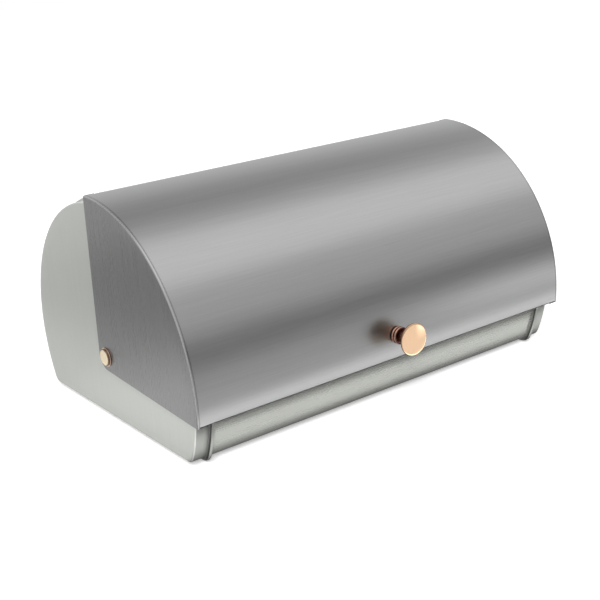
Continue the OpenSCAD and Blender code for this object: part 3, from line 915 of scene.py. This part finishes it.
def knob_shade(radius, height):
    """Painted shade, brown, on the neck, within 6 to 8 mm of the axis, and round the disc's
    edge, over its last 0.6 mm, but none on its face and back."""
    on_neck = np.clip((8 * MM - radius) / (2 * MM), 0, 1) * (height < rim_top - 1 * MM)
    on_edge = np.clip((radius - knob_r + 0.6 * MM) / (0.4 * MM), 0, 1)
    return 0.85 * np.maximum(on_neck, on_edge * (height < rim_top - 0.1 * MM))


neck = arc((neck_r + flare_r, rim_low - flare_r), flare_r, 180, 90, 10)
rim = arc((knob_r - rim_r, rim_low + rim_r), rim_r, -90, 60, 10)
face = arc((0, knob_top - crown_r), crown_r, 90 - crown_a + crown_gap_a, 90, 24)
bore = [[0, bore_end], [bore_r, bore_end], [bore_r, lay_gap], [neck_r, lay_gap]]
knob_profile = line(bore, neck, rim, face)
knob = lathe("knob_head", knob_profile, knob_foot, knob_axis, steps=128, fold=knob_shade)
finish(knob, "lid", rose_gold, "knob_copper", "knob")

# %% Knob collar
collar_r = 7.3 * MM
collar_h = 7 * MM
bead_r = 1.6 * MM
core_r = collar_r - bead_r
end_r = core_r - 0.6 * MM
first_bead = bead_r + 0.3 * MM
collar_bore = neck_r + lay_gap
collar_profile = line(
    (collar_bore, lay_gap), (end_r, lay_gap),
    arc((core_r, first_bead), bead_r, -90, 78, 16),
    arc((core_r, first_bead + 2 * bead_r), bead_r, -78, 90, 16),
    (end_r, collar_h), (collar_bore, collar_h),
)


def bead_shade(radius, height):
    """Painted shade between the collar's beads and at its ends: full from 0.35 mm in."""
    return np.clip((collar_r - radius) / (0.35 * MM), 0, 1)


collar = lathe(
    "knob_beads", collar_profile, knob_foot, knob_axis,
    steps=128, closed=True, fold=bead_shade,
)
finish(collar, "lid", rose_gold_shaded, "collar_copper", "knob_collar")

# %% [markdown]
# ## Rubber feet
# A foot is pushed through the floor from below: a chamfered disc outside, a slim neck in
# the hole, and a tapered head inside that keeps it there. One profile makes all four.

# %% Feet
foot_r = 9 * MM
foot_chamfer = 1 * MM
foot_neck_r = 3 * MM
head_r = foot_neck_r + 1 * MM
head_tip_r = foot_neck_r - 1 * MM
head_low = sheet_t + 2 * lay_gap
head_wide = head_low + 0.5 * MM
head_top = head_low + 2.2 * MM
foot_round = 0.4 * MM
foot_profile = [
    [0, -foot_h], [foot_r - foot_chamfer, -foot_h], [foot_r, foot_chamfer - foot_h],
    [foot_r, -lay_gap], [foot_neck_r, -lay_gap], [foot_neck_r, head_low], [head_r, head_low],
    [head_r, head_wide], [head_tip_r, head_top], [0, head_top],
]
foot_profile = eased(foot_profile, foot_round)
for corner, (low, high) in foot_boxes.items():
    place = ((low.x + high.x) / 2, (low.y + high.y) / 2, floor_z)
    foot = lathe(f"{corner}_rubber_foot", foot_profile, place, (0, 0, 1), steps=64)
    finish(foot, "base", foot_rubber, "foot_rubber", f"{corner}_foot")

# %% [markdown]
# ## Pieces that stay as they are
# Nuts, washers, the knob's screw and the rubber clips have the right shape in the model,
# so they only get their finish.

# %% Finishes of the model's own pieces


def dress(material, *names):
    """Gives nodes of the model their finish and leaves their meshes alone."""
    for name in names:
        materials = frame["nodes"][name].data.materials
        materials.clear()
        materials.append(material)
    print(material.name, "on", len(names), "nodes")


for side in ("left", "right"):
    dress(zinc, f"{side}_pivot_washer", f"{side}_pivot_nut")
    dress(buffer_rubber, f"{side}_lip_buffer")
dress(zinc, "knob_washer", "knob_screw")

# %% [markdown]
# ## Camera
# The camera stands to the front left and looks slightly down. It could be placed by eye,
# but a fit to the photograph brings every edge within about a pixel. The fit gives its
# place, turn and focal length, in millimetres from the body's bottom under the pivot.

# %% Camera
image_px = 600
sensor_mm = 36
aim_height = 80
azimuth, elevation, roll = radians(-37.118), radians(19.518), radians(-3.163)
distance, focal_px = 1052.795, 1183.943
aim_right, aim_up, centre_right, centre_down = 25.128, -31.407, 25.0, 9.0

back = np.array([
    np.sin(azimuth) * np.cos(elevation), -np.cos(azimuth) * np.cos(elevation), np.sin(elevation),
])
level_right = np.cross(-back, (0, 0, 1))
level_right /= np.linalg.norm(level_right)
level_up = np.cross(level_right, -back)
right = np.cos(roll) * level_right + np.sin(roll) * level_up
up = -np.sin(roll) * level_right + np.cos(roll) * level_up
origin = np.array([0, pivot[0], floor_z]) / MM
aim = origin + (0, 0, aim_height) + aim_right * right + aim_up * up

camera_data = bpy.data.cameras.new("camera")
camera = bpy.data.objects.new("camera", camera_data)
bpy.context.scene.collection.objects.link(camera)
camera_data.sensor_width = sensor_mm
camera_data.lens = focal_px * sensor_mm / image_px
camera_data.shift_x = -centre_right / image_px
camera_data.shift_y = centre_down / image_px
camera_data.clip_start, camera_data.clip_end = 0.05, 60
turn = Matrix(np.column_stack([right, up, back]).tolist())
camera.matrix_world = Matrix.Translation(Vector((aim + distance * back) * MM)) @ turn.to_4x4()
bpy.context.scene.camera = camera
print("camera at", [round(v, 3) for v in camera.location], "lens", round(camera_data.lens, 1))

# %% [markdown]
# ## Studio
# Polished and brushed metal shows what stands round it. The surroundings are white, a
# long soft lamp hangs overhead, and a broad sun lights the side faces. The world is white
# to the camera and to reflections, and the floor to the camera. Both give the object less
# light, so its colours stay as they are written and its shadow stays on the floor.

# %% World
scene = bpy.context.scene
scene.view_settings.view_transform = "Standard"

object_light = 0.30
world = bpy.data.worlds.new("studio")
scene.world = world
world.use_nodes = True
sky = Tree(world.node_tree)
sky_to_camera = sky.node("ShaderNodeLightPath", {}, {}, "Is Camera Ray")
sky_to_gloss = sky.node("ShaderNodeLightPath", {}, {}, "Is Glossy Ray")
seen = sky.maths("MAXIMUM", sky_to_camera, sky_to_gloss)
background = sky.nodes["Background"]
sky.put(background.inputs["Color"], (1, 1, 1, 1))
sky.put(background.inputs["Strength"], object_light + (1 - object_light) * seen)
print("world strength: 1 where it is seen,", object_light, "as light")

# %% Floor
floor_half = 4
floor_finish = Finish("pale_floor", Roughness=0.9)
is_camera = floor_finish.node("ShaderNodeLightPath", {}, {}, "Is Camera Ray")
is_diffuse = floor_finish.node("ShaderNodeLightPath", {}, {}, "Is Diffuse Ray")
floor_finish.feed(
    Base_Color=floor_finish.tint(is_diffuse, grey(0.80), grey(0.40)),
    Emission_Color=floor_finish.tint(is_camera, grey(0.0), grey(0.42)),
    Emission_Strength=1.0, Specular_IOR_Level=0.0,
)
floor_grid = floor_half * np.array([[[-1, -1, 0], [1, -1, 0]], [[-1, 1, 0], [1, 1, 0]]], float)
floor = piece_from_mesh("floor", mesh_from_grid("floor", floor_grid))
floor.data.materials.append(floor_finish.material)
if floor.data.polygons[0].normal.z < 0:
    floor.data.flip_normals()
print("floor", 2 * floor_half, "metres wide")

# %% Lamps


def soft_lamp(name, angle, distance, x, width, height, power):
    """A long lamp parallel to X, at an angle in the side view. It faces the pivots' axis."""
    data = bpy.data.lights.new(name, "AREA")
    data.shape, data.size, data.size_y, data.energy = "RECTANGLE", width, height, power
    lamp = bpy.data.objects.new(name, data)
    scene.collection.objects.link(lamp)
    away = Vector((0, *ray(180 - angle)))
    lamp.location = Vector((x, *pivot)) + distance * away
    side = Vector((1, 0, 0))
    lamp.rotation_euler = Matrix((side, away.cross(side), away)).transposed().to_euler()
    lamp.visible_camera = False
    return lamp


overhead = soft_lamp("overhead", angle=74, distance=1.5, x=0.4, width=4.0, height=1.0, power=8.6)
key_data = bpy.data.lights.new("key", "SUN")
key_data.energy, key_data.angle = 3.2, radians(26)
key = bpy.data.objects.new("key", key_data)
scene.collection.objects.link(key)
key.rotation_euler = (radians(52), 0, radians(-38))
key.visible_glossy = False
print("lamp at", [round(v, 3) for v in overhead.location])

# %% [markdown]
# ## Cards
# The soft bands along a curved lid are mirror images of what stands round it. Painting them
# on the steel would fix them in place, so they are made as in a photographer's studio, with
# grey flags and bright boards. Only reflections see these cards, and they fade out at their
# edges. Those on the floor shape the lid's lower part, the rail, the end panel and the knob.

# %% Cards that reflections see


def face_corners(mesh):
    """The place of every face corner of a mesh, as an array with one row for each."""
    index = np.zeros(len(mesh.loops), np.int32)
    mesh.loops.foreach_get("vertex_index", index)
    place = np.zeros(3 * len(mesh.vertices), np.float32)
    mesh.vertices.foreach_get("co", place)
    return place.reshape(-1, 3)[index]


def card(name, edges, x_from, x_to, fill, shade, lean=0):
    """A flat card between two edges of the side view, the first of which may lie further
    along X by a lean. Its cover is the fill times 16 times a(1 - a)b(1 - b), at most 1, for
    the shares a and b of its two sides. Shade 0 is black, 1 is white, and more is a light."""
    made = Finish(name)
    place = made.node("ShaderNodeTexCoord", {}, {}, "UV")
    part = made.node("ShaderNodeSeparateXYZ", {}, {0: place})
    along, across = (Value(made, part.socket.node.outputs[axis]) for axis in "XY")
    ridge = 4 * fill * (across * (1 - across))
    ends = 4 * (along * (1 - along))
    soft = made.maths("MINIMUM", ridge * ends, 1.0)
    glow = made.node("ShaderNodeEmission", {}, {"Color": (shade, shade, shade, 1)})
    clear = made.node("ShaderNodeBsdfTransparent", {}, {})
    mixed = made.node("ShaderNodeMixShader", {}, {0: soft, 1: clear, 2: glow})
    made.links.new(mixed.socket, made.nodes["Material Output"].inputs["Surface"])
    first, last = edges
    rows = [
        [(x + shift, *(pivot + point)) for x in (x_from, x_to)]
        for point, shift in ((first, lean), (last, 0))
    ]
    piece = piece_from_mesh(name, mesh_from_grid(name, np.array(rows)))
    uv = piece.data.uv_layers.new(name="UVMap")
    corners = face_corners(piece.data)
    side = last - first
    share_across = (corners[:, 1:] - pivot - first) @ side / (side @ side)
    share_along = (corners[:, 0] - x_from - lean * (1 - share_across)) / (x_to - x_from)
    uv.data.foreach_set("uv", np.column_stack([share_along, share_across]).ravel())
    piece.data.materials.append(made.material)
    piece.visible_camera = False
    piece.visible_diffuse = False
    piece.visible_shadow = False
    print(f"{name}: shade {shade}")


def hung(angle, spread, distance):
    """The two edges of a card that hangs at a distance from the pivot, one spread to each
    side of an angle in the side view."""
    return distance * ray(180 - angle - spread), distance * ray(180 - angle + spread)


def laid(y_from, y_to, height=0.002):
    """The two edges of a card that lies just above the floor."""
    return np.array([y_from, height - pivot[1]]), np.array([y_to, height - pivot[1]])


card("front_card", hung(angle=11, spread=12, distance=2.2), -2, 5, fill=1.25, shade=0.28)
card("rear_card", hung(angle=120, spread=20, distance=1.9), -3, 3, fill=1.2, shade=0.62)
card("floor_front_card", laid(-0.218, -0.157), -0.9, 1.1, fill=1.5, shade=2.8)
card("floor_right_card", laid(-1.10, -0.27, 0.004), 0.10, 0.52, fill=2.5, shade=1.8, lean=0.78)
card("floor_side_card", laid(-0.22, 0.14), -0.33, -0.19, fill=1.6, shade=1.12)
card("floor_left_card", laid(0.04, 0.56), -0.72, -0.24, fill=1.6, shade=0.50)
card("floor_edge_card", laid(-0.182, -0.138, 0.003), -1.2, 1.4, fill=1.6, shade=0.0)
card("floor_foot_card", laid(-0.122, -0.100, 0.003), -1.2, 1.4, fill=1.2, shade=0.12)
